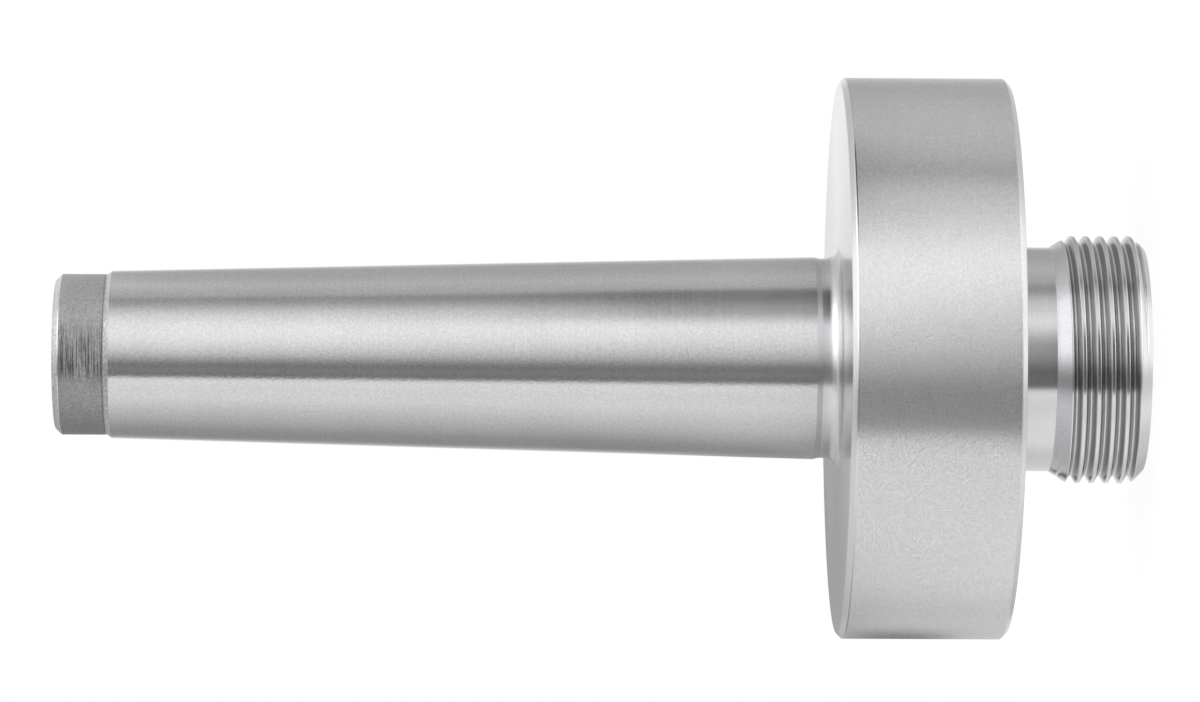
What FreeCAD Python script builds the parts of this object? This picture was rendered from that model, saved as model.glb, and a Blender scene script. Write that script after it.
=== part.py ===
import FreeCAD, Part
import math
import os

# Boring head arbor: one piece of steel, turned, threaded and ground about the Z axis.
# Millimetres and degrees. The end face of the head thread lies on Z = 0 and the shank points up.

# Head thread, 7/8 inch with 20 threads to the inch. The helix itself is cut on a plain cylinder.
thread_major_d = 22.1
thread_pitch = 1.27
thread_reach = 8.36
thread_end_chamfer = 1.05
relief_ramp_angle = 32.0

# Turned relief between the thread and the flange
relief_below_root = 0.27
relief_width = 3.84
seat_corner_r = 0.4

# Flange, whose lower face seats the boring head
flange_d = 50.0
flange_thickness = 15.0
flange_chamfer = 0.48

# Neck between the flange and the taper
neck_length = 2.16
neck_step = 0.125
neck_fillet_r = 1.25
large_end_chamfer = 0.5

# Ground self-holding taper, machine taper size 2, set by its gauge diameter and a taper of 1 in 20.020
gauge_d = 17.780
gauge_setback = 5.0
taper_run_per_unit = 20.020
taper_length = 62.4

# Plain turned end of the shank
plain_step = 0.305
plain_step_length = 0.5
plain_length = 4.99
plain_end_chamfer = 0.53

# Drawbar hole, tapped 3/8 inch with 16 threads to the inch, bored at its tapping size
drawbar_major_d = 9.525
drawbar_pitch = 1.5875
drawbar_hole_depth = 28.0
drawbar_mouth_margin = 0.45
drill_point_angle = 118.0

# Centre-drilled hole in the end face of the thread
centre_pilot_d = 3.15
centre_pilot_depth = 4.0
centre_mouth_d = 6.7
centre_angle = 60.0

# A 60 degree thread's depth from crest to root, and from crest to a tapped hole's wall, in pitches
EXTERNAL_DEPTH_RATIO = 0.61343
TAPPED_DEPTH_RATIO = 0.5


def half_angle_run(radial, included_angle):
    """Axial length of a cone that is `radial` wide on one side and has this included angle."""
    return radial / math.tan(math.radians(included_angle / 2))


# Radii
thread_r = thread_major_d / 2
thread_face_r = thread_r - thread_end_chamfer
thread_root_r = thread_r - EXTERNAL_DEPTH_RATIO * thread_pitch
relief_r = thread_root_r - relief_below_root
flange_r = flange_d / 2
large_end_r = (gauge_d + gauge_setback / taper_run_per_unit) / 2
small_end_r = large_end_r - taper_length / taper_run_per_unit / 2
neck_r = large_end_r - neck_step
plain_r = small_end_r - plain_step
plain_face_r = plain_r - plain_end_chamfer
drawbar_r = drawbar_major_d / 2 - TAPPED_DEPTH_RATIO * drawbar_pitch
drawbar_mouth_r = drawbar_major_d / 2 + drawbar_mouth_margin
centre_pilot_r = centre_pilot_d / 2
centre_mouth_r = centre_mouth_d / 2

# Heights
relief_ramp_run = (thread_r - relief_r) / math.tan(math.radians(relief_ramp_angle))
thread_top_z = thread_reach - relief_ramp_run
seat_z = thread_reach + relief_width
flange_top_z = seat_z + flange_thickness
large_end_z = flange_top_z + neck_length
small_end_z = large_end_z + taper_length
shank_end_z = small_end_z + plain_length


class Section:
    """Half of the section through the axis, drawn as a chain of edges in the XZ plane."""

    def __init__(self, r, z):
        self.start = FreeCAD.Vector(r, 0, z)
        self.here = self.start
        self.edges = []

    def line(self, r, z):
        """Run straight to radius r and height z."""
        there = FreeCAD.Vector(r, 0, z)
        self.edges.append(Part.LineSegment(self.here, there).toShape())
        self.here = there

    def inside_corner(self, r, z, centre_r, centre_z):
        """Run to radius r and height z on the short arc about the given centre."""
        centre = FreeCAD.Vector(centre_r, 0, centre_z)
        there = FreeCAD.Vector(r, 0, z)
        outward = (self.here - centre) + (there - centre)
        middle = centre + outward.normalize() * (there - centre).Length
        self.edges.append(Part.Arc(self.here, middle, there).toShape())
        self.here = there

    def revolve(self):
        """Close the chain and turn it once about the Z axis."""
        self.line(self.start.x, self.start.z)
        face = Part.Face(Part.Wire(self.edges))
        return face.revolve(FreeCAD.Vector(0, 0, 0), FreeCAD.Vector(0, 0, 1), 360)


def draw_centre_hole(section):
    """The 60 degree centre and its pilot, from the point of the drill out to the end face."""
    cone_top = half_angle_run(centre_mouth_r - centre_pilot_r, centre_angle)
    point_run = half_angle_run(centre_pilot_r, drill_point_angle)
    shoulder_z = cone_top + centre_pilot_depth
    section.line(0, shoulder_z + point_run)
    section.line(centre_pilot_r, shoulder_z)
    section.line(centre_pilot_r, cone_top)
    section.line(centre_mouth_r, 0)


def draw_head_thread(section):
    """The end face, the thread's outer cylinder and the ramp down into the relief."""
    section.line(thread_face_r, 0)
    section.line(thread_r, thread_end_chamfer)
    section.line(thread_r, thread_top_z)
    section.line(relief_r, thread_reach)


def draw_flange(section):
    """The relief, the seat face, the rim with its two chamfers and the shank-side face."""
    corner_r = relief_r + seat_corner_r
    section.line(relief_r, seat_z - seat_corner_r)
    section.inside_corner(corner_r, seat_z, corner_r, seat_z - seat_corner_r)
    section.line(flange_r - flange_chamfer, seat_z)
    section.line(flange_r, seat_z + flange_chamfer)
    section.line(flange_r, flange_top_z - flange_chamfer)
    section.line(flange_r - flange_chamfer, flange_top_z)


def draw_neck(section):
    """The fillet that rises from the flange, the neck and the chamfer up to the taper."""
    fillet_r = neck_r + neck_fillet_r
    fillet_top = flange_top_z + neck_fillet_r
    section.line(fillet_r, flange_top_z)
    section.inside_corner(neck_r, fillet_top, fillet_r, fillet_top)
    section.line(neck_r, large_end_z - large_end_chamfer)
    section.line(large_end_r, large_end_z)


def draw_taper(section):
    """The ground taper and the plain turned end, up to the end face of the shank."""
    section.line(small_end_r, small_end_z)
    section.line(plain_r, small_end_z + plain_step_length)
    section.line(plain_r, shank_end_z - plain_end_chamfer)
    section.line(plain_face_r, shank_end_z)


def draw_drawbar_hole(section):
    """The 60 degree mouth and the bore of the tapped hole, down to its drill point."""
    mouth_run = half_angle_run(drawbar_mouth_r - drawbar_r, centre_angle)
    point_run = half_angle_run(drawbar_r, drill_point_angle)
    floor_z = shank_end_z - drawbar_hole_depth
    section.line(drawbar_mouth_r, shank_end_z)
    section.line(drawbar_r, shank_end_z - mouth_run)
    section.line(drawbar_r, floor_z)
    section.line(0, floor_z - point_run)


def make_arbor():
    """The whole arbor as one turned solid."""
    middle_z = (seat_z + flange_top_z) / 2
    section = Section(0, middle_z)
    draw_centre_hole(section)
    draw_head_thread(section)
    draw_flange(section)
    draw_neck(section)
    draw_taper(section)
    draw_drawbar_hole(section)
    return section.revolve()


os.makedirs("parts", exist_ok=True)
arbor = make_arbor()
arbor.exportStep("parts/arbor.step")
print("arbor", arbor.isValid(), "volume", round(arbor.Volume, 1), "length", round(arbor.BoundBox.ZLength, 3))
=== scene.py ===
"""The looks of a boring head arbor: one piece of steel, turned, threaded and ground about the Z axis."""

import logging
import math
from collections.abc import Callable, Sequence
from dataclasses import dataclass
from enum import Enum
from typing import Any

import bpy
import numpy as np
from mathutils import Matrix, Vector


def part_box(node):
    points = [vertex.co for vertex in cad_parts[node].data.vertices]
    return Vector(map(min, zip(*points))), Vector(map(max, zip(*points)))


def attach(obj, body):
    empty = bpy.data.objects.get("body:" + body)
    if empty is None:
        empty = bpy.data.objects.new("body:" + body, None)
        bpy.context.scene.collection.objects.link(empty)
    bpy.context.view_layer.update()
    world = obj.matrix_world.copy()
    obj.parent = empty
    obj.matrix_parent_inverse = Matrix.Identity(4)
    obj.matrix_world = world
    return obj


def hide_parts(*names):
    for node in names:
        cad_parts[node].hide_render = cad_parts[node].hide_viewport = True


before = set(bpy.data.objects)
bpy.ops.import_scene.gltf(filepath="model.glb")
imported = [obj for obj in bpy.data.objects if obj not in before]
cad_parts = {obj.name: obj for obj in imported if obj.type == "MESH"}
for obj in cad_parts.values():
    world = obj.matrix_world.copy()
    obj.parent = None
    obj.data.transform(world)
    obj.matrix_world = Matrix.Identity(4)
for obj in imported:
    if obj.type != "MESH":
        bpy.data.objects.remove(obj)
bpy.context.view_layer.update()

LOG = logging.getLogger("arbor")

MM = 0.001
TURN = 2 * math.pi
COLUMNS = 180
IMAGE_WIDTH = 1200

Colour = tuple[float, float, float]


class Zone(Enum):
    """The ways in which the steel was worked, in the order of the mesh's material slots."""

    BORE = 0
    END_FACE = 1
    THREAD = 2
    RELIEF = 3
    SEAT_FACE = 4
    CHAMFER = 5
    RIM = 6
    SHOULDER_FACE = 7
    NECK = 8
    GROUND_TAPER = 9
    END_STEP = 10
    TURNED_END = 11


def smooth_min(a: np.ndarray, b: np.ndarray, blend: float) -> np.ndarray:
    """The lesser of two surfaces, with the edge between them rounded.

    The plain minimum, less the square of what is left of the blend, over four blends.

    Args:
        a: The first surface's radii.
        b: The second surface's radii.
        blend: How far apart the two may be where the edge is still rounded, in metres.

    Returns:
        The rounded minimum, element by element.
    """
    near = np.maximum(blend - np.abs(a - b), 0.0)
    return np.minimum(a, b) - near * near / (4 * blend)


def smooth_max(a: np.ndarray, b: np.ndarray, blend: float) -> np.ndarray:
    """The greater of two surfaces, rounded as smooth_min rounds the lesser.

    Args:
        a: The first surface's radii.
        b: The second surface's radii.
        blend: How far apart the two may be where the edge is still rounded, in metres.

    Returns:
        The rounded maximum, element by element.
    """
    return -smooth_min(-a, -b, blend)


def cone_run(radial: float, included_deg: float) -> float:
    """Height of a cone that is `radial` wide on one side.

    Args:
        radial: The cone's width on one side, in metres.
        included_deg: The cone's included angle, in degrees.

    Returns:
        The height, in metres.
    """
    return radial / math.tan(math.radians(included_deg / 2))


@dataclass(frozen=True)
class Corner:
    """A corner of the section, with the arc that breaks it and the finish that leads on from it."""

    r: float
    z: float
    zone: Zone
    round: float = 0.05 * MM


class Section:
    """A stretch of the section through the axis, from which rings are turned."""

    ARC_STEP = math.radians(14)
    SUPPORT = 0.7
    SUPPORT_SHARE = 0.05
    SUPPORT_REACH = 0.02 * MM
    LONGEST_SHARE = 0.8

    def __init__(self, corners: Sequence[Corner]) -> None:
        """Keep the corners, of which the first and the last stay sharp."""
        self.corners = list(corners)

    def _arc(self, before: np.ndarray, corner: Corner, after: np.ndarray) -> np.ndarray:
        """The points that break one corner.

        The arc touches both runs at round times the tangent of half the turn from the corner, or nearer where
        a run is short. One more point on each run, a little further out, keeps the smooth shading flat.

        Args:
            before: The corner before, as r and z.
            corner: The corner itself.
            after: The corner after, as r and z.

        Returns:
            The points from the first run to the second, one in each row.
        """
        here = np.array([corner.r, corner.z])
        into, onward = here - before, after - here
        run_in, run_out = np.linalg.norm(into), np.linalg.norm(onward)
        into, onward = into / run_in, onward / run_out
        turn = math.acos(float(np.clip(into @ onward, -1.0, 1.0)))
        shorter = min(run_in, run_out)
        tangent = min(corner.round * math.tan(turn / 2), self.LONGEST_SHARE * shorter)
        radius = tangent / math.tan(turn / 2)
        support = min(self.SUPPORT * max(radius, tangent), self.SUPPORT_SHARE * shorter + self.SUPPORT_REACH)
        inward = (onward - into) / np.linalg.norm(onward - into)
        along = (onward + into) / np.linalg.norm(onward + into)
        centre = here + inward * radius / math.cos(turn / 2)
        steps = max(2, math.ceil(turn / self.ARC_STEP))
        swing = np.linspace(-turn / 2, turn / 2, steps + 1)[:, None]
        arc = centre + radius * (along * np.sin(swing) - inward * np.cos(swing))
        return np.vstack([here - into * (tangent + support), arc, here + onward * (tangent + support)])

    def rings(self) -> tuple[np.ndarray, np.ndarray]:
        """The rings of this stretch.

        Returns:
            Their radii and heights, one ring in each row, and the slot of the finish that leads on from each.
        """
        ends = [np.array([c.r, c.z]) for c in self.corners]
        points, slots = [ends[0][None, :]], [self.corners[0].zone.value]
        for before, corner, after in zip(ends, self.corners[1:-1], ends[2:]):
            arc = self._arc(before, corner, after)
            points.append(arc)
            slots += [slots[-1]] + [corner.zone.value] * (len(arc) - 1)
        points.append(ends[-1][None, :])
        return np.vstack(points), np.array(slots)


@dataclass(frozen=True)
class ThreadForm:
    """One period of a 60 degree thread, as depth below the crest against distance from the crest's middle."""

    pitch: float
    crest_flat: float
    root_round: float
    crest_round: float = 0.05 * MM
    crest_steps: int = 2
    flank_steps: int = 3
    root_steps: int = 3
    flank_slope: float = math.sqrt(3.0)

    @property
    def depth(self) -> float:
        """Depth from crest to root: the sharp flanks' depth, less the root's radius."""
        return self.flank_slope * (self.pitch - self.crest_flat) / 2 - self.root_round

    def period(self) -> tuple[np.ndarray, np.ndarray]:
        """The points of one period, from one root's middle up to the crest and down to the next.

        Half of it is the crest's flat, an arc that turns 60 degrees into the flank, the flank itself, whose
        slope is the tangent of 60 degrees, and an arc that turns 60 degrees back at the root.

        Returns:
            The distances from the crest's middle, ascending, and the depths there. The last root is left out.
        """
        lean = math.atan(self.flank_slope)
        half_flat = self.crest_flat / 2 - self.crest_round * math.tan(lean / 2)
        a = np.linspace(0, lean, self.crest_steps + 1)
        crest_u = half_flat + self.crest_round * np.sin(a)
        crest_d = self.crest_round * (1 - np.cos(a))
        b = np.linspace(lean, 0, self.root_steps + 1)
        root_u = self.pitch / 2 - self.root_round * np.sin(b)
        root_d = self.depth - self.root_round * (1 - np.cos(b))
        share = np.linspace(0, 1, self.flank_steps + 1)[1:-1]
        flank_u = crest_u[-1] + (root_u[0] - crest_u[-1]) * share
        flank_d = crest_d[-1] + (root_d[0] - crest_d[-1]) * share
        u = np.concatenate([crest_u, flank_u, root_u])
        d = np.concatenate([crest_d, flank_d, root_d])
        return np.concatenate([-u[::-1], [0.0], u[:-1]]), np.concatenate([d[::-1], [0.0], d[:-1]])


class TurnedSkin:
    """A closed skin made of rings and helical bands about the Z axis, kept as arrays until it is a mesh."""

    SNAP = 0.012 * MM
    GROOVE = "groove"

    def __init__(self, columns: int) -> None:
        """Start an empty skin with this many columns round the axis."""
        self.columns = columns
        self.theta = np.arange(columns) * TURN / columns
        self.points: list[np.ndarray] = []
        self.grooves: list[np.ndarray] = []
        self.count = 0
        self.faces: list[np.ndarray] = []
        self.slots: list[np.ndarray] = []

    def _keep(
        self, x: np.ndarray, y: np.ndarray, z: np.ndarray, groove: np.ndarray | None = None
    ) -> np.ndarray:
        """Keep new points.

        Args:
            x: Their first coordinates.
            y: Their second coordinates.
            z: Their heights.
            groove: How deep in a thread's groove they lie, from 0 to 1, or nothing where there is no thread.

        Returns:
            Their indices, in the same shape.
        """
        self.points.append(np.stack([x.ravel(), y.ravel(), z.ravel()], axis=1))
        self.grooves.append(np.zeros(x.size) if groove is None else groove.ravel())
        index = self.count + np.arange(x.size).reshape(x.shape)
        self.count += x.size
        return index

    def _cover(self, grid: np.ndarray, slots: np.ndarray, inward: bool = False) -> None:
        """Cover a grid of indices with triangles, and leave out those that have shrunk to a line.

        Args:
            grid: Indices, one ring or helical row in each row, with the first column repeated at the end.
            slots: The material slot of each row of cells.
            inward: Turn the faces over, for rows that were laid against the order of the section.
        """
        a, b, c, d = grid[:-1, :-1], grid[:-1, 1:], grid[1:, 1:], grid[1:, :-1]
        faces = np.stack([np.stack([a, b, c], axis=-1), np.stack([a, c, d], axis=-1)], axis=2)
        slot = np.broadcast_to(slots[:, None, None], faces.shape[:3]).reshape(-1)
        faces = faces.reshape(-1, 3)
        sides = (faces != np.roll(faces, 1, axis=1)).all(axis=1)
        faces, slot = faces[sides], slot[sides]
        self.faces.append(faces[:, ::-1] if inward else faces)
        self.slots.append(slot)

    def turn(self, section: Section) -> tuple[np.ndarray, np.ndarray]:
        """Turn a stretch of the section about the axis: x is r cos theta, y is r sin theta.

        Args:
            section: The stretch, walked so that the steel lies on its left. A radius of 0 becomes one point.

        Returns:
            The indices of its first ring and of its last ring.
        """
        points, slots = section.rings()
        r, z = points[:, :1], points[:, 1:]
        index = np.empty((len(points), self.columns), dtype=np.int64)
        on_axis = r[:, 0] == 0.0
        ring = ~on_axis
        index[ring] = self._keep(
            r[ring] * np.cos(self.theta),
            r[ring] * np.sin(self.theta),
            np.broadcast_to(z[ring], (int(ring.sum()), self.columns)),
        )
        poles = self._keep(r[on_axis], r[on_axis], z[on_axis])
        index[on_axis] = poles
        self._cover(np.hstack([index, index[:, :1]]), slots)
        return index[0], index[-1]

    def cut_thread(
        self,
        rings: tuple[np.ndarray, np.ndarray],
        heights: tuple[float, float],
        form: ThreadForm,
        crest_z: float,
        surface: Callable[[np.ndarray, np.ndarray], tuple[np.ndarray, np.ndarray]],
        zone: Zone,
        inward: bool = False,
    ) -> None:
        """Lay a right-hand thread between two rings.

        Row k follows one line of the thread: z is its height at column 0 plus the pitch times theta over one
        turn, and r comes from the surface at that height and depth. The end of a row meets the start of the
        row one pitch higher, and what would pass a ring is drawn in to that ring.

        Args:
            rings: The indices of the lower ring and the upper ring.
            heights: The heights of those two rings.
            form: The thread's form.
            crest_z: The height of any crest at column 0.
            surface: Gives radii and places in the groove from heights and thread depths.
            zone: The finish.
            inward: Whether the skin faces the axis.
        """
        u, depth = form.period()
        low, high = heights
        first = math.floor((low - crest_z) / form.pitch) - 2
        last = math.ceil((high - crest_z) / form.pitch) + 1
        turns = np.arange(first, last + 1)[:, None]
        start = (crest_z + turns * form.pitch + u).reshape(-1, 1)
        depths = np.tile(depth, len(turns)).reshape(-1, 1)
        z = start + form.pitch * self.theta / TURN
        below, above = z <= low + self.SNAP, z >= high - self.SNAP
        free = ~(below | above)
        r, groove = surface(z, np.broadcast_to(depths, z.shape))
        index = np.where(below, rings[0], rings[1])
        theta = np.broadcast_to(self.theta, z.shape)[free]
        index[free] = self._keep(r[free] * np.cos(theta), r[free] * np.sin(theta), z[free], groove[free])
        beyond = np.full(len(u), rings[1][0])
        closing = np.concatenate([index[len(u):, 0], beyond])[:, None]
        self._cover(np.hstack([index, closing]), np.full(len(index) - 1, zone.value), inward)

    def mesh(self, name: str) -> bpy.types.Mesh:
        """Make the mesh.

        Args:
            name: The mesh's name.

        Returns:
            The mesh, smooth all over, with its material slots' numbers and its groove attribute set.
        """
        points, faces = np.vstack(self.points), np.vstack(self.faces)
        mesh = bpy.data.meshes.new(name)
        mesh.vertices.add(len(points))
        mesh.vertices.foreach_set("co", points.astype(np.float32).ravel())
        mesh.loops.add(faces.size)
        mesh.loops.foreach_set("vertex_index", faces.astype(np.int32).ravel())
        mesh.polygons.add(len(faces))
        mesh.polygons.foreach_set("loop_start", np.arange(0, faces.size, 3, dtype=np.int32))
        mesh.polygons.foreach_set("material_index", np.concatenate(self.slots).astype(np.int32))
        mesh.polygons.foreach_set("use_smooth", np.ones(len(faces), dtype=bool))
        groove = mesh.attributes.new(self.GROOVE, "FLOAT", "POINT")
        groove.data.foreach_set("value", np.concatenate(self.grooves).astype(np.float32))
        mesh.update(calc_edges=True)
        mesh.validate()
        return mesh


class Wire:
    """An output socket with number arithmetic: each operator adds a Math node."""

    def __init__(self, graph: "Graph", socket: bpy.types.NodeSocket) -> None:
        """Wrap a socket of a graph."""
        self.graph = graph
        self.socket = socket

    def _math(self, operation: str, *values: Any) -> "Wire":
        """Add a Math node with this operation on these values."""
        inputs = dict(enumerate(values))
        return self.graph.node("ShaderNodeMath", {"operation": operation}, inputs)

    def __add__(self, other: Any) -> "Wire":
        """Sum."""
        return self._math("ADD", self, other)

    __radd__ = __add__

    def __sub__(self, other: Any) -> "Wire":
        """Difference."""
        return self._math("SUBTRACT", self, other)

    def __rsub__(self, other: Any) -> "Wire":
        """Difference from a number."""
        return self._math("SUBTRACT", other, self)

    def __mul__(self, other: Any) -> "Wire":
        """Product."""
        return self._math("MULTIPLY", self, other)

    __rmul__ = __mul__

    def __truediv__(self, other: Any) -> "Wire":
        """Quotient."""
        return self._math("DIVIDE", self, other)

    def __pow__(self, other: Any) -> "Wire":
        """Power."""
        return self._math("POWER", self, other)

    def __neg__(self) -> "Wire":
        """The same with its sign changed."""
        return self * -1.0

    def __abs__(self) -> "Wire":
        """The same without its sign."""
        return self._math("ABSOLUTE", self)

    def angle_over(self, other: Any) -> "Wire":
        """The arctangent of this over another value, in radians all the way round."""
        return self._math("ARCTAN2", self, other)

    def at_most(self, other: Any) -> "Wire":
        """The lesser of this and another value."""
        return self._math("MINIMUM", self, other)

    def at_least(self, other: Any) -> "Wire":
        """The greater of this and another value."""
        return self._math("MAXIMUM", self, other)

    def ramp(self, start: float, end: float) -> "Wire":
        """Rise smoothly from 0 at start to 1 at end."""
        inputs = {"Value": self, "From Min": start, "From Max": end}
        return self.graph.node("ShaderNodeMapRange", {"interpolation_type": "SMOOTHSTEP"}, inputs)


class Graph:
    """The nodes of one material or of the world."""

    def __init__(self, owner: bpy.types.Material | bpy.types.World) -> None:
        """Empty the owner's node tree and take it."""
        owner.use_nodes = True
        self.tree = owner.node_tree
        self.tree.nodes.clear()

    def node(
        self,
        kind: str,
        settings: dict[str, Any] | None = None,
        inputs: dict[str | int, Any] | None = None,
        output: str | int = 0,
    ) -> Wire:
        """Add a node.

        Args:
            kind: The node's type.
            settings: Its own settings, which are set first. "stops" are a ramp's places and grey levels.
            inputs: The values or wires of its sockets, by name or number.
            output: The socket that is returned, by name or number.

        Returns:
            The chosen output.
        """
        node = self.tree.nodes.new(kind)
        for key, value in (settings or {}).items():
            if key == "stops":
                self._set_stops(node.color_ramp, value)
            else:
                setattr(node, key, value)
        for key, value in (inputs or {}).items():
            if isinstance(value, Wire):
                self.tree.links.new(value.socket, node.inputs[key])
            else:
                node.inputs[key].default_value = value
        return Wire(self, node.outputs[output] if node.outputs else None)

    @staticmethod
    def _set_stops(ramp: bpy.types.ColorRamp, stops: Sequence[tuple[float, float]]) -> None:
        """Give a ramp its stops, from 0 to 1 along it."""
        while len(ramp.elements) < len(stops):
            ramp.elements.new(1.0)
        for element, (place, level) in zip(ramp.elements, stops):
            element.position = place
            element.color = (level, level, level, 1.0)

    def split(self, vector: Wire) -> tuple[Wire, Wire, Wire]:
        """Take a vector's three parts apart."""
        parts = self.node("ShaderNodeSeparateXYZ", inputs={"Vector": vector})
        sockets = parts.socket.node.outputs
        return Wire(self, sockets[0]), Wire(self, sockets[1]), Wire(self, sockets[2])

    def join(self, x: Any, y: Any, z: Any) -> Wire:
        """Make a vector of three parts."""
        return self.node("ShaderNodeCombineXYZ", inputs={"X": x, "Y": y, "Z": z})

    def mix_colour(self, share: Wire, first: "Colour | Wire", second: Colour) -> Wire:
        """Mix two colours.

        Args:
            share: How much of the second colour there is, from 0 to 1.
            first: The colour where the share is 0.
            second: The colour where the share is 1.

        Returns:
            The mixed colour.
        """
        start = first if isinstance(first, Wire) else (*first, 1.0)
        inputs = {0: share, 6: start, 7: (*second, 1.0)}
        return self.node("ShaderNodeMix", {"data_type": "RGBA"}, inputs, output=2)


@dataclass(frozen=True)
class SteelFinish:
    """How one zone of the steel was worked: its colour, its gloss and the marks that run round the axis.

    A finish with a matt roughness is speckled with it. One with a groove shade colour takes it inside a
    thread, as painted shade in the grooves, and one with a scratch colour has dark scratches, most of them on
    the front side at scratched_deg, where their darkness is painted reflection on real marks. Where it has
    painted side light, it is lighter towards +X, the side that faces up to the camera, and darker towards -X:
    painted light and shade.
    """

    name: str
    bright: Colour = (0.64, 0.64, 0.652)
    dull: Colour = (0.59, 0.59, 0.60)
    roughness: float = 0.22
    roughness_swing: float = 0.05
    anisotropy: float = 0.85
    line_width: float = 0.14 * MM
    line_length: float = 14.0 * MM
    line_height: float = 0.0015 * MM
    line_share: float = 0.3
    fleck_width: float = 0.12 * MM
    fleck_length: float = 0.22 * MM
    fleck_height: float = 0.003 * MM
    cloud_width: float = 9.0 * MM
    cloud_length: float = 9.0 * MM
    matt_roughness: float | None = None
    # Painted shade in a thread's grooves.
    groove_shade_colour: Colour | None = None
    # Dark scratches: real marks, whose gathering on the front side is painted reflection.
    scratch_colour: Colour | None = None
    scratched_deg: float = 0.0
    # Painted light and shade: how much lighter towards +X and darker towards -X.
    painted_side_light: float = 0.0

    ACROSS_FACES = 1.618
    NOISE = {"Scale": 1.0, "Detail": 2.0, "Roughness": 0.6}
    QUARTER_TURN = 0.25
    CLOUD_SHARE = 0.2
    TONE_EDGES = (0.35, 0.65)
    MATT_SIZE = 0.05 * MM
    MATT_EDGES = (0.46, 0.56)
    # Where the painted groove shade starts, and how much of it the root is spared.
    GROOVE_EDGES = (0.08, 0.3)
    ROOT_EDGES = (0.86, 0.98)
    ROOT_SHARE = 0.7
    SCRATCH_EDGES = (0.44, 0.56)
    PATCH_EDGES = (0.40, 0.50)
    PATCH_SHARE = 0.4
    # How far the front side with its painted dark scratches reaches, and how much of them it holds.
    FRONT_SIDE_EDGES_DEG = (9.0, 27.0)
    FRONT_SIDE_SHARE = 0.88

    def _grain(self, graph: Graph, place: tuple[Wire, Wire, Wire], width: float, length: float) -> Wire:
        """Noise that is drawn out round the axis.

        Its third coordinate is the height plus a share of the radius, so that it runs across every turned
        surface, flat faces and cones among them, and the first two change slowly round the axis.

        Args:
            graph: The material's nodes.
            place: X, Y and the coordinate across the surface.
            width: The size of a mark across the surface.
            length: The size of a mark round the axis.

        Returns:
            Values about 0.5.
        """
        x, y, across = place
        where = graph.join(x * (1 / length), y * (1 / length), across * (1 / width))
        return graph.node("ShaderNodeTexNoise", {"noise_dimensions": "3D"}, {"Vector": where, **self.NOISE})

    def _painted_groove_shade(self, graph: Graph) -> Wire:
        """How much painted shade a thread's groove takes: full on its flanks, and less again along its bright
        root.
        """
        groove = graph.node("ShaderNodeAttribute", {"attribute_name": TurnedSkin.GROOVE}, output="Fac")
        return groove.ramp(*self.GROOVE_EDGES) * (1.0 - self.ROOT_SHARE * groove.ramp(*self.ROOT_EDGES))

    def _scratch_share(self, place: tuple[Wire, Wire, Wire], lines: Wire, clouds: Wire) -> Wire:
        """How much of a dark scratch there is: most on the front side, in patches, and little on the others.
        Gathering them on the front side, where the marks show dark, is painted reflection on real turning
        marks. The front side is where the azimuth, the arctangent of x over -y, is near scratched_deg.

        Args:
            place: X, Y and the coordinate across the surface.
            lines: The turning lines, of which the stronger ones are scratches.
            clouds: The clouds, which part the scratches into patches.

        Returns:
            The share, from 0 to 1.
        """
        x, y, _ = place
        # Painted reflection: the dark scratches gather on the front side, where the marks show dark.
        off_middle = abs(x.angle_over(-y) - math.radians(self.scratched_deg))
        near, far = (math.radians(value) for value in self.FRONT_SIDE_EDGES_DEG)
        front_side = (1.0 - self.FRONT_SIDE_SHARE) + self.FRONT_SIDE_SHARE * (1.0 - off_middle.ramp(near, far))
        patches = (1.0 - self.PATCH_SHARE) + self.PATCH_SHARE * clouds.ramp(*self.PATCH_EDGES)
        return lines.ramp(*self.SCRATCH_EDGES) * patches * front_side

    def material(self) -> bpy.types.Material:
        """Make this finish's material.

        Returns:
            A metallic material whose colour, roughness and bump follow the marks.
        """
        material = bpy.data.materials.new(self.name)
        graph = Graph(material)
        x, y, z = graph.split(graph.node("ShaderNodeTexCoord", output="Object"))
        radius = (x * x + y * y) ** 0.5
        across = z + self.ACROSS_FACES * radius
        place = (x, y, across)
        lines = self._grain(graph, place, self.line_width, self.line_length)
        flecks = self._grain(graph, place, self.fleck_width, self.fleck_length)
        clouds = self._grain(graph, place, self.cloud_width, self.cloud_length)
        fleck_share = 1.0 - self.CLOUD_SHARE - self.line_share
        marks = lines * self.line_share + flecks * fleck_share + clouds * self.CLOUD_SHARE
        # Painted light: lighter towards +X, the side that faces up to the camera, and darker towards -X.
        tone = (marks + self.painted_side_light * (x / radius)).ramp(*self.TONE_EDGES)
        colour = graph.mix_colour(tone, self.dull, self.bright)
        # Dark scratches, gathered on the front side: real marks, with their darkness there painted reflection.
        if self.scratch_colour is not None:
            scratches = self._scratch_share(place, lines, clouds)
            colour = graph.mix_colour(scratches, colour, self.scratch_colour)
        # Painted shade: darker on the thread's flanks, less along the root.
        if self.groove_shade_colour is not None:
            colour = graph.mix_colour(self._painted_groove_shade(graph), colour, self.groove_shade_colour)
        rough = self.roughness + self.roughness_swing * (lines + clouds - 1.0)
        if self.matt_roughness is not None:
            matt = self._grain(graph, place, self.MATT_SIZE, self.MATT_SIZE).ramp(*self.MATT_EDGES)
            rough = rough + (self.matt_roughness - self.roughness) * matt
        height = lines * self.line_height + flecks * self.fleck_height
        bump = graph.node("ShaderNodeBump", inputs={"Strength": 1.0, "Distance": 1.0, "Height": height})
        shader = graph.node(
            "ShaderNodeBsdfPrincipled",
            inputs={
                "Base Color": colour,
                "Metallic": 1.0,
                "Roughness": rough,
                "Anisotropic": self.anisotropy,
                "Anisotropic Rotation": self.QUARTER_TURN,
                "Normal": bump,
            },
        )
        graph.node("ShaderNodeOutputMaterial", inputs={"Surface": shader})
        return material


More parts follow.
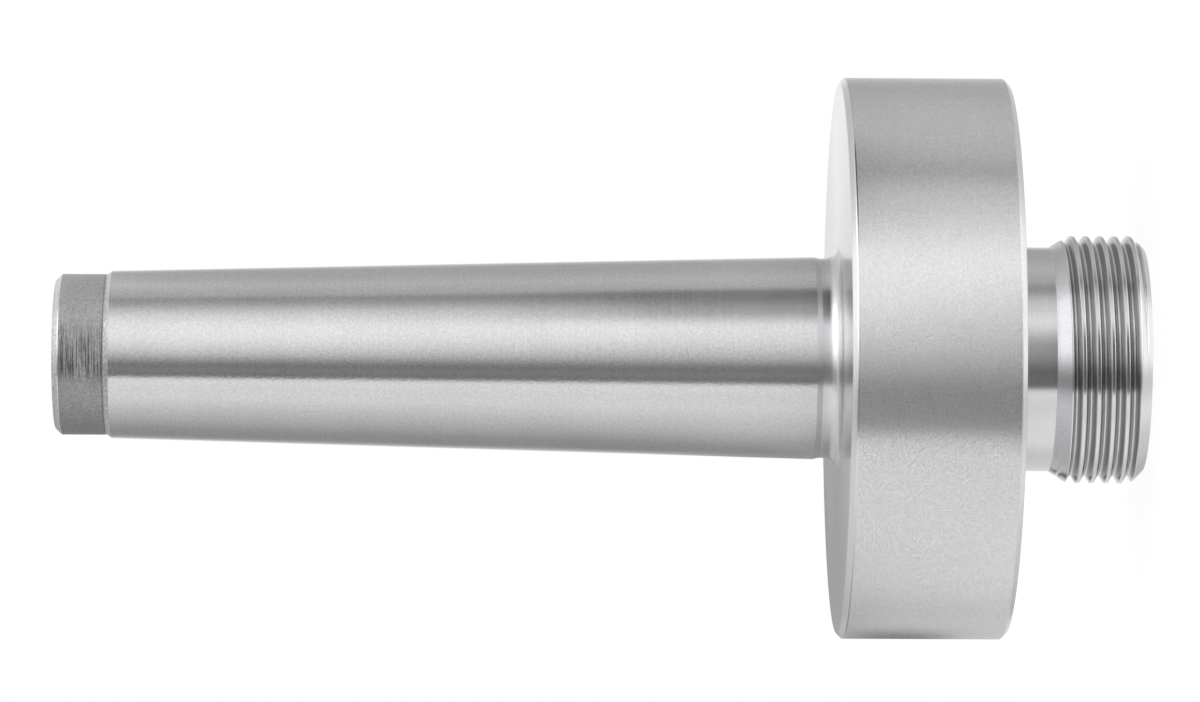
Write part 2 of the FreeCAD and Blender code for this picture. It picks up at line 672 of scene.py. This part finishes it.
FINISHES: dict[Zone, SteelFinish] = {
    Zone.BORE: SteelFinish(
        "drilled_bore",
        bright=(0.50, 0.50, 0.50),
        dull=(0.40, 0.40, 0.40),
        roughness=0.36,
        anisotropy=0.5,
        # Painted shade in the tapped thread's grooves.
        groove_shade_colour=(0.30, 0.30, 0.30),
    ),
    Zone.END_FACE: SteelFinish("turned_end_face", roughness=0.30, anisotropy=0.6, line_height=0.003 * MM),
    Zone.THREAD: SteelFinish(
        "cut_thread",
        roughness=0.17,
        anisotropy=0.4,
        line_length=6 * MM,
        # Painted shade in the thread's grooves.
        groove_shade_colour=(0.40, 0.40, 0.40),
    ),
    Zone.RELIEF: SteelFinish("turned_relief", roughness=0.22, anisotropy=0.8),
    Zone.SEAT_FACE: SteelFinish(
        "ground_seat",
        bright=(0.78, 0.78, 0.79),
        dull=(0.73, 0.73, 0.74),
        roughness=0.18,
        anisotropy=0.4,
    ),
    Zone.CHAMFER: SteelFinish("turned_chamfer", roughness=0.20, anisotropy=0.5),
    Zone.RIM: SteelFinish(
        "brushed_rim",
        bright=(0.73, 0.73, 0.742),
        dull=(0.65, 0.65, 0.66),
        roughness=0.26,
        anisotropy=0.85,
        line_share=0.12,
        fleck_width=0.20 * MM,
        fleck_length=0.24 * MM,
        fleck_height=0.006 * MM,
        matt_roughness=0.62,
    ),
    Zone.SHOULDER_FACE: SteelFinish("turned_shoulder", roughness=0.19, anisotropy=0.4),
    Zone.NECK: SteelFinish("turned_neck", roughness=0.25, anisotropy=0.6),
    Zone.GROUND_TAPER: SteelFinish(
        "ground_taper",
        bright=(0.655, 0.655, 0.666),
        dull=(0.575, 0.575, 0.585),
        roughness=0.25,
        anisotropy=1.0,
        line_share=0.12,
        fleck_width=0.18 * MM,
        fleck_length=0.20 * MM,
        fleck_height=0.006 * MM,
    ),
    Zone.END_STEP: SteelFinish(
        "rough_step",
        bright=(0.62, 0.62, 0.625),
        dull=(0.33, 0.33, 0.335),
        roughness=0.42,
        anisotropy=0.2,
        fleck_width=0.16 * MM,
        fleck_length=0.18 * MM,
        fleck_height=0.02 * MM,
    ),
    Zone.TURNED_END: SteelFinish(
        "rough_turned_end",
        bright=(0.52, 0.52, 0.52),
        dull=(0.31, 0.31, 0.31),
        roughness=0.62,
        anisotropy=0.1,
        line_width=0.07 * MM,
        line_length=2.8 * MM,
        line_height=0.006 * MM,
        line_share=0.3,
        fleck_width=0.15 * MM,
        fleck_length=0.20 * MM,
        fleck_height=0.012 * MM,
        cloud_width=2.0 * MM,
        cloud_length=6 * MM,
        # Dark scratches on the front side: real marks, with painted reflection in where they are dark.
        scratch_colour=(0.10, 0.10, 0.10),
        scratched_deg=2.0,
        # Painted light: lighter towards +X, darker towards -X.
        painted_side_light=0.085,
    ),
}


@dataclass(frozen=True)
class CentreHole:
    """The 60 degree centre and its pilot in the thread's end face."""

    pilot_r: float = 1.575 * MM
    pilot_depth: float = 4.0 * MM
    mouth_r: float = 3.35 * MM
    cone_deg: float = 60.0
    point_deg: float = 118.0
    edge_round: float = 0.08 * MM

    def corners(self) -> list[Corner]:
        """From the drill's point out to the end face."""
        cone = cone_run(self.mouth_r - self.pilot_r, self.cone_deg)
        shoulder = cone + self.pilot_depth
        return [
            Corner(0.0, shoulder + cone_run(self.pilot_r, self.point_deg), Zone.BORE),
            Corner(self.pilot_r, shoulder, Zone.BORE, self.edge_round),
            Corner(self.pilot_r, cone, Zone.BORE, self.edge_round),
            Corner(self.mouth_r, 0.0, Zone.END_FACE, self.edge_round),
        ]


@dataclass(frozen=True)
class HeadThread:
    """The external thread that carries the boring head, with its end chamfer and the ramp at its back."""

    major_r: float = 11.05 * MM
    relief_r: float = 10.001 * MM
    form: ThreadForm = ThreadForm(
        pitch=1.27 * MM,
        crest_flat=0.32 * MM,
        root_round=0.16 * MM,
        crest_round=0.10 * MM,
        crest_steps=4,
        root_steps=5,
    )
    reach: float = 8.36 * MM
    end_chamfer: float = 1.05 * MM
    ramp_deg: float = 32.0
    plain_margin: float = 0.15 * MM
    crest_z: float = 1.31 * MM
    edge_break: float = 0.03 * MM

    @property
    def face_r(self) -> float:
        """Radius of the end face."""
        return self.major_r - self.end_chamfer

    @property
    def ramp_slope(self) -> float:
        """How fast the ramp's radius falls with height."""
        return math.tan(math.radians(self.ramp_deg))

    def low_corner(self) -> Corner:
        """The ring on the end chamfer below which no thread is cut."""
        return Corner(self.face_r + self.plain_margin, self.plain_margin, Zone.THREAD)

    def high_corner(self) -> Corner:
        """The ring on the ramp above which no thread is cut."""
        height = self.reach - self.plain_margin / self.ramp_slope
        return Corner(self.relief_r + self.plain_margin, height, Zone.RELIEF)

    def surface(self, z: np.ndarray, depth: np.ndarray) -> tuple[np.ndarray, np.ndarray]:
        """The thread cut into the turned blank.

        The least of the thread, the 45 degree chamfer and the ramp, whose radius falls by its slope. The
        place in the groove is how far that lies below the blank, over the thread's depth.

        Args:
            z: Heights.
            depth: Depths below the crest.

        Returns:
            Radii, and places in the groove from 0 to 1.
        """
        chamfer = self.face_r + z
        ramp = self.relief_r + (self.reach - z) * self.ramp_slope
        blank = smooth_min(chamfer, ramp, self.edge_break)
        r = smooth_min(self.major_r - depth, blank, self.edge_break)
        return r, np.clip((np.minimum(blank, self.major_r) - r) / self.form.depth, 0.0, 1.0)


@dataclass(frozen=True)
class Flange:
    """The relief behind the thread and the round flange, whose lower face seats the boring head."""

    radius: float
    relief_r: float
    relief_top: float
    relief_width: float = 3.84 * MM
    seat_corner: float = 0.4 * MM
    thickness: float = 15.0 * MM
    chamfer: float = 0.48 * MM
    relief_round: float = 0.1 * MM
    edge_round: float = 0.28 * MM

    @property
    def seat_z(self) -> float:
        """Height of the seat face."""
        return self.relief_top + self.relief_width

    @property
    def top_z(self) -> float:
        """Height of the face on the shank's side."""
        return self.seat_z + self.thickness

    def corners(self) -> list[Corner]:
        """From the foot of the ramp to the outer edge of the face on the shank's side."""
        inner = self.radius - self.chamfer
        return [
            Corner(self.relief_r, self.relief_top, Zone.RELIEF, self.relief_round),
            Corner(self.relief_r, self.seat_z, Zone.SEAT_FACE, self.seat_corner),
            Corner(inner, self.seat_z, Zone.CHAMFER, self.edge_round),
            Corner(self.radius, self.seat_z + self.chamfer, Zone.RIM, self.edge_round),
            Corner(self.radius, self.top_z - self.chamfer, Zone.CHAMFER, self.edge_round),
            Corner(inner, self.top_z, Zone.SHOULDER_FACE, self.edge_round),
        ]


@dataclass(frozen=True)
class TaperShank:
    """The neck, the ground taper and the plain turned end of the shank."""

    foot_z: float
    end_z: float
    neck_step: float = 0.125 * MM
    neck_length: float = 2.16 * MM
    neck_fillet: float = 1.25 * MM
    large_end_chamfer: float = 0.5 * MM
    large_end_r: float = 9.015 * MM
    taper_run_per_unit: float = 20.02
    plain_length: float = 4.99 * MM
    plain_step: float = 0.305 * MM
    plain_step_length: float = 0.5 * MM
    end_chamfer: float = 0.53 * MM
    undercut: float = 0.08 * MM
    facet_foot: float = 0.05 * MM
    facet_head: float = 0.025 * MM
    large_end_round: float = 0.1 * MM
    edge_round: float = 0.06 * MM
    fine_round: float = 0.025 * MM

    def corners(self) -> list[Corner]:
        """From the fillet on the flange up to the outer edge of the shank's end face.

        The taper's radius falls by one in twice taper_run_per_unit. A small undercut lies at the foot of the
        step, and a fine bright facet between the plain end and its chamfer.
        """
        neck_r = self.large_end_r - self.neck_step
        large_end_z = self.foot_z + self.neck_length
        small_end_z = self.end_z - self.plain_length
        small_end_r = self.large_end_r - (small_end_z - large_end_z) / self.taper_run_per_unit / 2
        plain_r = small_end_r - self.plain_step
        step_z = small_end_z + self.plain_step_length
        chamfer_z = self.end_z - self.end_chamfer
        return [
            Corner(neck_r, self.foot_z, Zone.NECK, self.neck_fillet),
            Corner(neck_r, large_end_z - self.large_end_chamfer, Zone.NECK, self.large_end_round),
            Corner(self.large_end_r, large_end_z, Zone.GROUND_TAPER, self.large_end_round),
            Corner(small_end_r, small_end_z, Zone.END_STEP, self.edge_round),
            Corner(plain_r - self.undercut, step_z, Zone.TURNED_END, self.fine_round),
            Corner(plain_r, step_z + self.undercut, Zone.TURNED_END, self.fine_round),
            Corner(plain_r, chamfer_z - self.facet_foot, Zone.CHAMFER, self.fine_round),
            Corner(plain_r - self.facet_head, chamfer_z + self.facet_head, Zone.END_STEP, self.fine_round),
            Corner(plain_r - self.end_chamfer, self.end_z, Zone.END_FACE, self.edge_round),
        ]


@dataclass(frozen=True)
class DrawbarHole:
    """The tapped hole in the shank's end, with its 60 degree mouth."""

    end_z: float
    bore_r: float = 3.969 * MM
    mouth_r: float = 5.2125 * MM
    form: ThreadForm = ThreadForm(
        pitch=1.5875 * MM, crest_flat=0.47 * MM, root_round=0.174 * MM, crest_steps=1, flank_steps=2
    )
    depth: float = 28.0 * MM
    tapped: float = 24.5 * MM
    cone_deg: float = 60.0
    point_deg: float = 118.0
    plain_margin: float = 0.27 * MM
    run_out: float = 2.4 * MM
    edge_break: float = 0.04 * MM
    mouth_round: float = 0.06 * MM
    floor_round: float = 0.08 * MM

    @property
    def cone_slope(self) -> float:
        """How fast the mouth's radius grows with height."""
        return math.tan(math.radians(self.cone_deg / 2))

    def mouth_corners(self) -> list[Corner]:
        """The mouth's edge and the ring in its cone above which no thread is cut."""
        margin_r = self.mouth_r - self.plain_margin
        margin_z = self.end_z - self.plain_margin / self.cone_slope
        return [
            Corner(self.mouth_r, self.end_z, Zone.BORE, self.mouth_round),
            Corner(margin_r, margin_z, Zone.BORE),
        ]

    def bottom_corners(self) -> list[Corner]:
        """From the end of the tapped length down to the drill's point."""
        floor_z = self.end_z - self.depth
        return [
            Corner(self.bore_r, self.end_z - self.tapped, Zone.BORE),
            Corner(self.bore_r, floor_z, Zone.BORE, self.floor_round),
            Corner(0.0, floor_z - cone_run(self.bore_r, self.point_deg), Zone.BORE),
        ]

    def surface(self, z: np.ndarray, depth: np.ndarray) -> tuple[np.ndarray, np.ndarray]:
        """The thread cut into the bore and its mouth.

        The greatest of the mouth's cone and the bore with the thread's depth added, which fades over the
        tap's lead at the bottom.

        Args:
            z: Heights.
            depth: Depths from the crest, outwards.

        Returns:
            Radii, and places in the groove from 0 to 1.
        """
        share = np.clip((z - (self.end_z - self.tapped)) / self.run_out, 0.0, 1.0)
        thread = self.bore_r + depth * share * share * (3 - 2 * share)
        cone = self.mouth_r - (self.end_z - z) * self.cone_slope
        r = smooth_max(thread, cone, self.edge_break)
        return r, np.clip((r - np.maximum(self.bore_r, cone)) / self.form.depth, 0.0, 1.0)


class Arbor:
    """The whole arbor, one closed skin that stands for the solid of the same name."""

    PIECE = "turned_arbor"
    NODE = "arbor"
    BODY = "root"
    SLOT = "ground_steel"

    def __init__(self) -> None:
        """Take the flange's radius and the overall length from the solid's box."""
        _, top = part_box(self.NODE)
        self.centre_hole = CentreHole()
        self.thread = HeadThread()
        self.flange = Flange(top.x, self.thread.relief_r, self.thread.reach)
        self.shank = TaperShank(self.flange.top_z, top.z)
        self.drawbar_hole = DrawbarHole(top.z)

    def skin(self) -> TurnedSkin:
        """Lay the rings and both threads.

        Returns:
            The closed skin.
        """
        skin = TurnedSkin(COLUMNS)
        thread, hole = self.thread, self.drawbar_hole
        low, high = thread.low_corner(), thread.high_corner()
        end_face = Corner(thread.face_r, 0.0, Zone.THREAD)
        mouth, bottom = hole.mouth_corners(), hole.bottom_corners()
        _, thread_start = skin.turn(Section([*self.centre_hole.corners(), end_face, low]))
        outside = [high, *self.flange.corners(), *self.shank.corners(), *mouth]
        thread_end, mouth_ring = skin.turn(Section(outside))
        tapped_end, _ = skin.turn(Section(bottom))
        rings, heights = (thread_start, thread_end), (low.z, high.z)
        skin.cut_thread(rings, heights, thread.form, thread.crest_z, thread.surface, Zone.THREAD)
        rings, heights = (tapped_end, mouth_ring), (bottom[0].z, mouth[-1].z)
        skin.cut_thread(rings, heights, hole.form, heights[0], hole.surface, Zone.BORE, inward=True)
        return skin

    def dress(self) -> bpy.types.Object:
        """Make the piece, give it its finishes and let it stand for the solid.

        Returns:
            The piece.
        """
        mesh = self.skin().mesh(self.PIECE)
        for zone in Zone:
            mesh.materials.append(FINISHES[zone].material())
        piece = bpy.data.objects.new(self.PIECE, mesh)
        bpy.context.scene.collection.objects.link(piece)
        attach(piece, self.BODY)
        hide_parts(self.NODE)
        return piece


@dataclass(frozen=True)
class Card:
    """A curved card that hangs near the object and is seen only in its reflections.

    Azimuths count from the front, where -Y is, towards +X. Every fade is a width inside the card's edge.
    """

    name: str
    level: float
    azimuths_deg: tuple[float, float]
    heights: tuple[float, float]
    fades_deg: tuple[float, float]
    fade_heights: tuple[float, float]
    radius: float = 60.0 * MM
    columns: int = 24

    @property
    def _azimuths(self) -> tuple[float, float]:
        """Where the card starts and ends, in radians."""
        return math.radians(self.azimuths_deg[0]), math.radians(self.azimuths_deg[1])

    def _material(self) -> bpy.types.Material:
        """A plain glow at the card's level, which fades out towards the four edges."""
        material = bpy.data.materials.new(self.name)
        graph = Graph(material)
        x, y, z = graph.split(graph.node("ShaderNodeTexCoord", output="Object"))
        azimuth = x.angle_over(-y)
        start, end = self._azimuths
        fade_in, fade_out = (math.radians(value) for value in self.fades_deg)
        share = azimuth.ramp(start, start + fade_in) * (1.0 - azimuth.ramp(end - fade_out, end))
        (low, high), (foot, head) = self.heights, self.fade_heights
        share = share * z.ramp(low, low + foot) * (1.0 - z.ramp(high - head, high))
        clear = graph.node("ShaderNodeBsdfTransparent")
        glow = graph.node("ShaderNodeEmission", inputs={"Strength": self.level})
        shader = graph.node("ShaderNodeMixShader", inputs={0: share, 1: clear, 2: glow})
        graph.node("ShaderNodeOutputMaterial", inputs={"Surface": shader})
        return material

    def hang(self) -> bpy.types.Object:
        """Hang the card: x is the radius times the azimuth's sine, and y is minus the radius times its cosine.

        Returns:
            The card, out of the camera's sight.
        """
        azimuth = np.linspace(*self._azimuths, self.columns + 1)
        z = np.array(self.heights)[:, None] + 0 * azimuth
        x = np.broadcast_to(self.radius * np.sin(azimuth), z.shape)
        y = np.broadcast_to(-self.radius * np.cos(azimuth), z.shape)
        points = np.stack([x.ravel(), y.ravel(), z.ravel()], axis=1)
        first = np.arange(self.columns)
        second = first + self.columns + 1
        faces = np.stack([first, first + 1, second + 1, second], axis=1)
        mesh = bpy.data.meshes.new(self.name)
        mesh.from_pydata(points.tolist(), [], faces.tolist())
        mesh.materials.append(self._material())
        card = bpy.data.objects.new(self.name, mesh)
        card.visible_camera = False
        card.visible_diffuse = False
        bpy.context.scene.collection.objects.link(card)
        return card


# The pale and the bright card light the lower half of the rim, the relief and the thread. The under card
# darkens the rim's lower edge, the low card the foot of the shank from below, the dark card the same foot
# from above, and the front card the thread's middle. The rim cards even out the rim's upper half, and the
# top card lights the step of the plain end.
CARDS = (
    Card(
        "pale_card", 0.88, radius=80 * MM,
        azimuths_deg=(-176.0, -40.0), heights=(-25 * MM, 28 * MM),
        fades_deg=(30.0, 28.0), fade_heights=(12 * MM, 7 * MM),
    ),
    Card(
        "bright_card", 1.13, radius=78 * MM,
        azimuths_deg=(-112.0, -40.0), heights=(-25 * MM, 28 * MM),
        fades_deg=(26.0, 26.0), fade_heights=(12 * MM, 7 * MM),
    ),
    Card(
        "under_card", 0.12, radius=52 * MM,
        azimuths_deg=(-172.0, -112.0), heights=(12.5 * MM, 25 * MM),
        fades_deg=(12.0, 20.0), fade_heights=(5 * MM, 4 * MM),
    ),
    Card(
        "dark_card", 0.06,
        azimuths_deg=(31.0, 84.0), heights=(26 * MM, 52 * MM),
        fades_deg=(22.0, 6.0), fade_heights=(2.5 * MM, 8 * MM),
    ),
    Card(
        "front_card", 0.13,
        azimuths_deg=(-31.0, 36.0), heights=(-16 * MM, 8 * MM),
        fades_deg=(6.0, 24.0), fade_heights=(3 * MM, 3 * MM),
    ),
    Card(
        "rim_card", 0.92,
        azimuths_deg=(40.0, 68.0), heights=(8 * MM, 25 * MM),
        fades_deg=(10.0, 11.0), fade_heights=(1.5 * MM, 1.5 * MM),
    ),
    Card(
        "rim_top_card", 0.72,
        azimuths_deg=(70.0, 125.0), heights=(8 * MM, 25 * MM),
        fades_deg=(4.0, 30.0), fade_heights=(1.5 * MM, 1.5 * MM),
    ),
    Card(
        "low_card", 0.36,
        azimuths_deg=(-184.0, -115.0), heights=(9 * MM, 44 * MM),
        fades_deg=(3.0, 45.0), fade_heights=(11 * MM, 11 * MM),
    ),
    Card(
        "top_card", 1.15,
        azimuths_deg=(95.0, 178.0), heights=(98 * MM, 170 * MM),
        fades_deg=(15.0, 15.0), fade_heights=(10 * MM, 10 * MM),
    ),
)


@dataclass(frozen=True)
class Studio:
    """A white room with long light and dark cards round the object, and a pale floor under it."""

    side_cards: tuple[tuple[float, float], ...] = (
        (-180, 1.00), (-165, 0.69), (-150, 0.374), (-140, 0.32), (-120, 0.38), (-80, 0.783), (-60, 1.035),
        (-45, 1.03), (-33, 1.16), (-31, 1.00), (-29.8, 0.24), (-28, 0.165), (-20, 0.315), (-14, 0.213),
        (-10, 0.268), (-5, 0.447), (0, 0.644), (10, 0.872), (20, 1.055), (30, 1.13), (40, 1.145), (50, 0.987),
        (60, 0.80), (70, 0.50), (78, 0.345), (82, 0.34), (84.5, 0.52), (105, 0.675), (125, 0.555),
        (150, 0.48), (165, 0.68), (180, 1.00),
    )
    end_cards: tuple[tuple[float, float], ...] = (
        (-180, 1.40), (-165, 0.90), (-150, 0.70), (-120, 0.72), (-80, 0.90), (-45, 1.15), (-33, 0.90),
        (-27, 0.42), (-15, 0.42), (-5, 1.05), (0, 1.45), (10, 2.10), (25, 2.50), (45, 2.60), (52, 2.50),
        (62, 1.75), (72, 1.25), (80, 1.08), (120, 0.74), (150, 0.75), (165, 0.95), (180, 1.40),
    )
    steep_cards: tuple[tuple[float, float], ...] = (
        (-180, 1.40), (-165, 0.80), (-150, 0.54), (-125, 0.62), (-100, 0.82), (-45, 0.98), (-30, 0.78),
        (-15, 0.76), (0, 1.20), (15, 1.42), (45, 1.38), (60, 1.02), (75, 0.88), (90, 0.84), (120, 0.78),
        (150, 0.76), (165, 0.95), (180, 1.40),
    )
    brightest: float = 2.6
    low_limit: float = 2.1
    side_tilt: tuple[float, float] = (0.18, 0.45)
    end_tilt: tuple[float, float] = (0.68, 0.88)
    low_end_tilt: tuple[float, float] = (0.65, 0.72)
    steep_limit: float = 1.45
    low_steep_limit: float = 1.05
    down_boost: float = 0.2
    horizon: tuple[float, float] = (-0.1, 0.1)
    ground: tuple[float, float] = (-0.1, 0.0)
    down_steepness: tuple[float, float] = (-0.8, -0.6)
    down_near: tuple[float, float] = (-0.12, -0.02)
    down_far: tuple[float, float] = (0.3, 0.45)
    plain_level: float = 0.9
    floor_radius: float = 0.14
    floor_colour: Colour = (0.82, 0.82, 0.82)
    floor_glow: float = 1.16
    floor_glow_share: float = 0.75

    SHORTEST = 1e-4

    @staticmethod
    def _seen(graph: Graph) -> Wire:
        """1 for the rays that show the background: camera, glossy and transmission rays."""
        kind = "ShaderNodeLightPath"
        camera = graph.node(kind, output="Is Camera Ray")
        glossy = graph.node(kind, output="Is Glossy Ray")
        through = graph.node(kind, output="Is Transmission Ray")
        return camera.at_least(glossy).at_least(through)

    def _card(self, graph: Graph, place: Wire, cards: Sequence[tuple[float, float]]) -> Wire:
        """The level of a row of cards.

        Args:
            graph: The world's nodes.
            place: Where to read it, from 0 to 1.
            cards: Degrees from -180 to 180 and levels.

        Returns:
            The level.
        """
        stops = [((degrees + 180) / 360, level / self.brightest) for degrees, level in cards]
        return self.brightest * graph.node("ShaderNodeValToRGB", {"stops": stops}, {"Fac": place})

    def _end_level(self, graph: Graph, place: Wire, z: Wire) -> Wire:
        """The end cards, held to the low limit where the direction points below the horizon."""
        limit = self.low_limit + (self.brightest - self.low_limit) * z.ramp(*self.horizon)
        return self._card(graph, place, self.end_cards).at_most(limit)

    def _steep_level(self, graph: Graph, place: Wire, y: Wire, z: Wire, below: Wire) -> Wire:
        """The steep cards, lifted in a patch straight below and held to the low limit elsewhere on the ground.

        The patch is where z is less than down_steepness and y lies between down_near and down_far.

        Args:
            graph: The world's nodes.
            place: Where to read the cards, from 0 to 1.
            y: The direction's second part.
            z: The direction's height.
            below: 1 where the direction points at the ground.

        Returns:
            The level.
        """
        inside = y.ramp(*self.down_near) * (1.0 - y.ramp(*self.down_far))
        down = below * (1.0 - z.ramp(*self.down_steepness)) * inside
        limit = self.steep_limit - (self.steep_limit - self.low_steep_limit) * (below - down)
        level = self._card(graph, place, self.steep_cards) * (1.0 + self.down_boost * down)
        return level.at_most(limit)

    def _room(self, graph: Graph) -> Wire:
        """What a reflection sees.

        The cards are laid out by the slope of the mirror at the origin that would show them to the front:
        azimuth is twice the arctangent of x over 1 - y, and tilt is the size of z over the length of
        (x, 1 - y). Mirrors that stand upright show the side cards, tilted ones the end cards and steep ones
        the steep cards, which begin sooner towards the ground.

        Args:
            graph: The world's nodes.

        Returns:
            The level in every direction.
        """
        x, y, z = graph.split(graph.node("ShaderNodeTexCoord", output="Generated"))
        facing = 1.0 - y
        place = x.angle_over(facing) / math.pi + 0.5
        tilt = abs(z) / ((x * x + facing * facing) ** 0.5).at_least(self.SHORTEST)
        below = 1.0 - z.ramp(*self.ground)
        side = self._card(graph, place, self.side_cards)
        end = self._end_level(graph, place, z)
        steep = self._steep_level(graph, place, y, z, below)
        high_share, low_share = tilt.ramp(*self.end_tilt), tilt.ramp(*self.low_end_tilt)
        room = side + (end - side) * tilt.ramp(*self.side_tilt)
        return room + (steep - room) * (high_share + (low_share - high_share) * below)

    def light(self) -> None:
        """Light the scene from the world.

        The background is white, at 1, to the camera. Reflections see the room, and other rays meet one
        plain level.
        """
        world = bpy.data.worlds.new("studio")
        bpy.context.scene.world = world
        graph = Graph(world)
        room = self._room(graph)
        glossy = graph.node("ShaderNodeLightPath", output="Is Glossy Ray")
        shown = 1.0 + (room - 1.0) * glossy
        strength = self.plain_level + (shown - self.plain_level) * self._seen(graph)
        background = graph.node("ShaderNodeBackground", inputs={"Color": (1, 1, 1, 1), "Strength": strength})
        graph.node("ShaderNodeOutputWorld", inputs={"Surface": background})

    def floor(self) -> bpy.types.Object:
        """Lay the pale floor, which shows white, keeps the object's soft shadow and is clear from below.

        Returns:
            The floor, a disc of one face.
        """
        around = np.arange(COLUMNS) * TURN / COLUMNS
        rim = self.floor_radius * np.stack([np.cos(around), np.sin(around), 0 * around], axis=1)
        mesh = bpy.data.meshes.new("floor")
        mesh.from_pydata(rim.tolist(), [], [list(range(COLUMNS))])
        material = bpy.data.materials.new("pale_floor")
        graph = Graph(material)
        diffuse = graph.node("ShaderNodeBsdfDiffuse", inputs={"Color": (*self.floor_colour, 1.0)})
        glow = graph.node("ShaderNodeEmission", inputs={"Strength": self.floor_glow})
        share = self._seen(graph) * self.floor_glow_share
        top = graph.node("ShaderNodeMixShader", inputs={0: share, 1: diffuse, 2: glow})
        underside = graph.node("ShaderNodeNewGeometry", output="Backfacing")
        clear = graph.node("ShaderNodeBsdfTransparent")
        shader = graph.node("ShaderNodeMixShader", inputs={0: underside, 1: top, 2: clear})
        graph.node("ShaderNodeOutputMaterial", inputs={"Surface": shader})
        mesh.materials.append(material)
        floor = bpy.data.objects.new("floor", mesh)
        floor.visible_glossy = False
        bpy.context.scene.collection.objects.link(floor)
        return floor


@dataclass(frozen=True)
class Viewpoint:
    """The camera, which lies on its side so that the arbor runs across the picture, its shank to the left."""

    distance: float = 552.8 * MM
    height: float = 57.36 * MM
    sideways: float = 0.49 * MM
    aim_height: float = 48.35 * MM
    roll_deg: float = 0.30
    lens_px: float = 6200.0
    sensor_mm: float = 36.0

    def place(self) -> bpy.types.Object:
        """Make the camera the scene's own.

        Its right is -Z and its up is +X, both turned by the roll, and it then pans by the angle that
        brings the aim height to the middle of the picture.

        Returns:
            The camera.
        """
        roll = math.radians(self.roll_deg)
        pan = math.atan2(self.height - self.aim_height, self.distance)
        right = Vector((math.sin(roll), 0.0, -math.cos(roll)))
        up = Vector((math.cos(roll), 0.0, math.sin(roll)))
        ahead = Vector((0.0, 1.0, 0.0))
        view = math.cos(pan) * ahead + math.sin(pan) * right
        across = math.cos(pan) * right - math.sin(pan) * ahead
        turned = Matrix((across, up, -view)).transposed().to_4x4()
        data = bpy.data.cameras.new("camera")
        data.sensor_width = self.sensor_mm
        data.lens = self.lens_px / IMAGE_WIDTH * self.sensor_mm
        camera = bpy.data.objects.new("camera", data)
        camera.matrix_world = Matrix.Translation((self.sideways, -self.distance, self.height)) @ turned
        bpy.context.scene.collection.objects.link(camera)
        bpy.context.scene.camera = camera
        return camera


def main() -> None:
    """Build the scene: the arbor, the studio round it and the camera."""
    logging.basicConfig(level=logging.INFO, format="%(name)s: %(message)s")
    bpy.context.scene.view_settings.view_transform = "Standard"
    piece = Arbor().dress()
    LOG.info("%s: %d points, %d triangles", piece.name, len(piece.data.vertices), len(piece.data.polygons))
    studio = Studio()
    studio.light()
    LOG.info("%s: laid", studio.floor().name)
    for card in CARDS:
        LOG.info("%s: hung", card.hang().name)
    LOG.info("%s: placed", Viewpoint().place().name)


if __name__ == "__main__":
    main()
